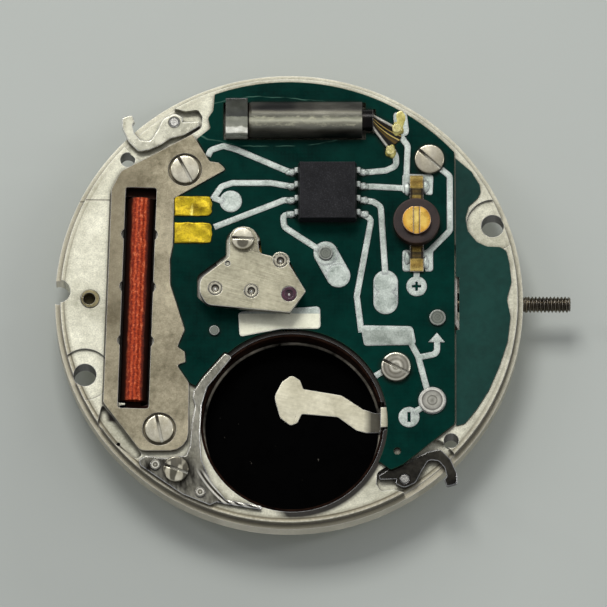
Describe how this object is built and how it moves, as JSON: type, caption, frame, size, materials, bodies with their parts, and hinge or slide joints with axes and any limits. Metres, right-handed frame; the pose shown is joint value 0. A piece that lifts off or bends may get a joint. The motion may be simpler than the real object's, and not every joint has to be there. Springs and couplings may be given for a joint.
{
  "type": "analogue quartz watch movement",
  "caption": "Round analogue quartz watch movement seen from its battery side, with coil, circuit board, crystal, trimmer, train bridge, battery well and winding stem.",
  "frame": {"origin": "centre of the hands' posts, on the face that the dial seats on", "axes": "+Z from the dial seat to the battery side, +X along the winding stem outwards, +Y towards the crystal"},
  "size_m": [0.0282, 0.0256, 0.0047],
  "materials": {
    "plated_nickel": "pale warm nickel plating, fine sandblast",
    "insulator": "dark brown-black moulded plastic",
    "strap_metal": "rolled spring strip, gold-nickel tint",
    "spring_steel": "stamped and polished spring steel",
    "screw_steel": "turned and polished steel",
    "board_green": "dark green varnished laminate",
    "film_green": "thin green film, half matte",
    "tinned_copper": "tinned copper, slightly rough",
    "chip_black": "black moulded resin",
    "can_steel": "drawn can, smooth satin",
    "clear_resin": "clear resin block, milky below",
    "lead_wire": "tinned wire and solder",
    "trimmer_ceramic": "dark red-brown glazed ceramic",
    "trimmer_brass": "gold-plated brass",
    "strip_brass": "tarnished brass strip",
    "rivet_nickel": "dull nickel rivets",
    "cover_bronze": "mottled grey-brown plate",
    "magnetic_alloy": "annealed magnetic alloy",
    "copper_wire": "red enamelled copper wire, wound",
    "tongue_gold": "gold-coloured foil, wrinkled",
    "bridge_nickel": "brushed nickel",
    "bush_brass": "turned and polished bush",
    "jewel": "polished dark synthetic stone",
    "magnet": "sintered magnet",
    "wheel_brass": "stamped and polished brass wheels",
    "polished_steel": "hardened and polished steel",
    "stem_steel": "dark brown-grey steel"
  },
  "bodies": {
    "movement": {"main_plate": "plated_nickel", "well_insulator": "insulator", "contact_strap": "strap_metal", "battery_clamp": "spring_steel", "battery_clamp_screw": "screw_steel", "battery_clamp_rivets": "rivet_nickel", "circuit_board": "board_green", "edge_film": "film_green", "circuit_tracks": "tinned_copper", "chip_body": "chip_black", "chip_leads": "tinned_copper", "crystal_can": "can_steel", "crystal_leads": "lead_wire", "crystal_damper": "clear_resin", "trimmer_base": "trimmer_ceramic", "trimmer_strips": "strip_brass", "board_rivets": "rivet_nickel", "board_screws": "screw_steel", "coil_cover": "cover_bronze", "coil_core": "magnetic_alloy", "coil_winding": "copper_wire", "coil_terminals": "tongue_gold", "coil_screws": "screw_steel", "stator": "magnetic_alloy", "train_bridge": "bridge_nickel", "bridge_screw": "screw_steel", "bridge_bushes": "bush_brass", "centre_jewel": "jewel", "motion_posts": "polished_steel", "motion_cover": "spring_steel", "motion_cover_screws": "screw_steel", "lever_jumper": "spring_steel", "lever_posts": "polished_steel", "dial_clamp_pins": "polished_steel", "eccentric_bush": "bush_brass"},
    "rotor": {"rotor_magnet": "magnet", "rotor_pinion": "wheel_brass"},
    "intermediate": {"intermediate_wheel": "wheel_brass"},
    "seconds": {"seconds_wheel": "wheel_brass"},
    "third": {"third_wheel": "wheel_brass"},
    "minutes": {"centre_wheel": "wheel_brass", "cannon_pinion": "polished_steel"},
    "hours": {"hour_wheel": "wheel_brass"},
    "minute_work": {"minute_wheel": "wheel_brass"},
    "setting": {"setting_wheel": "polished_steel"},
    "clutch": {"sliding_pinion": "polished_steel"},
    "stem": {"stem": "stem_steel"},
    "setting_lever": {"setting_lever": "spring_steel"},
    "yoke": {"yoke": "spring_steel"},
    "clamp_left": {"dial_clamp_left": "plated_nickel"},
    "clamp_right": {"dial_clamp_right": "plated_nickel"},
    "trimmer": {"trimmer_rotor": "trimmer_brass"}
  },
  "joints": [
    {"name": "seconds_turn", "type": "hinge", "parent": "movement", "child": "seconds", "pos_m": [0, 0, 0.0012], "axis": [0, 0, 1], "continuous": true},
    {"name": "rotor_turn", "type": "hinge", "parent": "movement", "child": "rotor", "pos_m": [-0.00403, 0.00032, 0.0012], "axis": [0, 0, 1], "continuous": true},
    {"name": "intermediate_turn", "type": "hinge", "parent": "movement", "child": "intermediate", "pos_m": [-0.00206, 0.00017, 0.0012], "axis": [0, 0, 1], "continuous": true},
    {"name": "third_turn", "type": "hinge", "parent": "movement", "child": "third", "pos_m": [-0.00047, 0.00187, 0.0012], "axis": [0, 0, 1], "continuous": true},
    {"name": "minutes_turn", "type": "hinge", "parent": "movement", "child": "minutes", "pos_m": [0, 0, 0.0012], "axis": [0, 0, 1], "continuous": true},
    {"name": "hours_turn", "type": "hinge", "parent": "movement", "child": "hours", "pos_m": [0, 0, 0.0012], "axis": [0, 0, 1], "continuous": true},
    {"name": "minute_work_turn", "type": "hinge", "parent": "movement", "child": "minute_work", "pos_m": [0.00141, 0.00141, 0.0003], "axis": [0, 0, 1], "continuous": true},
    {"name": "setting_turn", "type": "hinge", "parent": "movement", "child": "setting", "pos_m": [0.00294, 0, 0.0003], "axis": [0, 0, 1], "continuous": true},
    {"name": "trimmer_turn", "type": "hinge", "parent": "movement", "child": "trimmer", "pos_m": [0.00697, 0.00422, 0.0025], "axis": [0, 0, 1], "continuous": true},
    {"name": "stem_turn", "type": "hinge", "parent": "movement", "child": "clutch", "pos_m": [0.0046, 0, 0.0006], "axis": [1, 0, 0], "continuous": true},
    {"name": "stem_pull", "type": "slide", "parent": "clutch", "child": "stem", "axis": [1, 0, 0], "range_m": [0, 0.0008]},
    {"name": "setting_lever_turn", "type": "hinge", "parent": "movement", "child": "setting_lever", "pos_m": [0.01045, -0.00227, 0.0012], "axis": [0, 0, 1], "range_deg": [-20.1, 0]},
    {"name": "yoke_turn", "type": "hinge", "parent": "movement", "child": "yoke", "pos_m": [0.00475, 0.0024, 0.0012], "axis": [0, 0, 1], "range_deg": [-8.4, 0]},
    {"name": "clamp_left_turn", "type": "hinge", "parent": "movement", "child": "clamp_left", "pos_m": [-0.0063, 0.01006, 0.0015], "axis": [0, 0, 1], "range_deg": [0, 20]},
    {"name": "clamp_right_turn", "type": "hinge", "parent": "movement", "child": "clamp_right", "pos_m": [0.0063, -0.01006, 0.0015], "axis": [0, 0, 1], "range_deg": [0, 20]}
  ],
  "couplings": [
    {"joint": "rotor_turn", "follows": "seconds_turn", "ratio": 30},
    {"joint": "intermediate_turn", "follows": "seconds_turn", "ratio": -4},
    {"joint": "third_turn", "follows": "seconds_turn", "ratio": -0.1},
    {"joint": "minutes_turn", "follows": "seconds_turn", "ratio": 0.016667},
    {"joint": "minute_work_turn", "follows": "seconds_turn", "ratio": -0.0055556},
    {"joint": "hours_turn", "follows": "seconds_turn", "ratio": 0.0013889},
    {"joint": "setting_turn", "follows": "seconds_turn", "ratio": 0.014286},
    {"joint": "setting_lever_turn", "follows": "stem_pull", "rad_per_m": -437},
    {"joint": "yoke_turn", "follows": "stem_pull", "rad_per_m": -181}
  ]
}
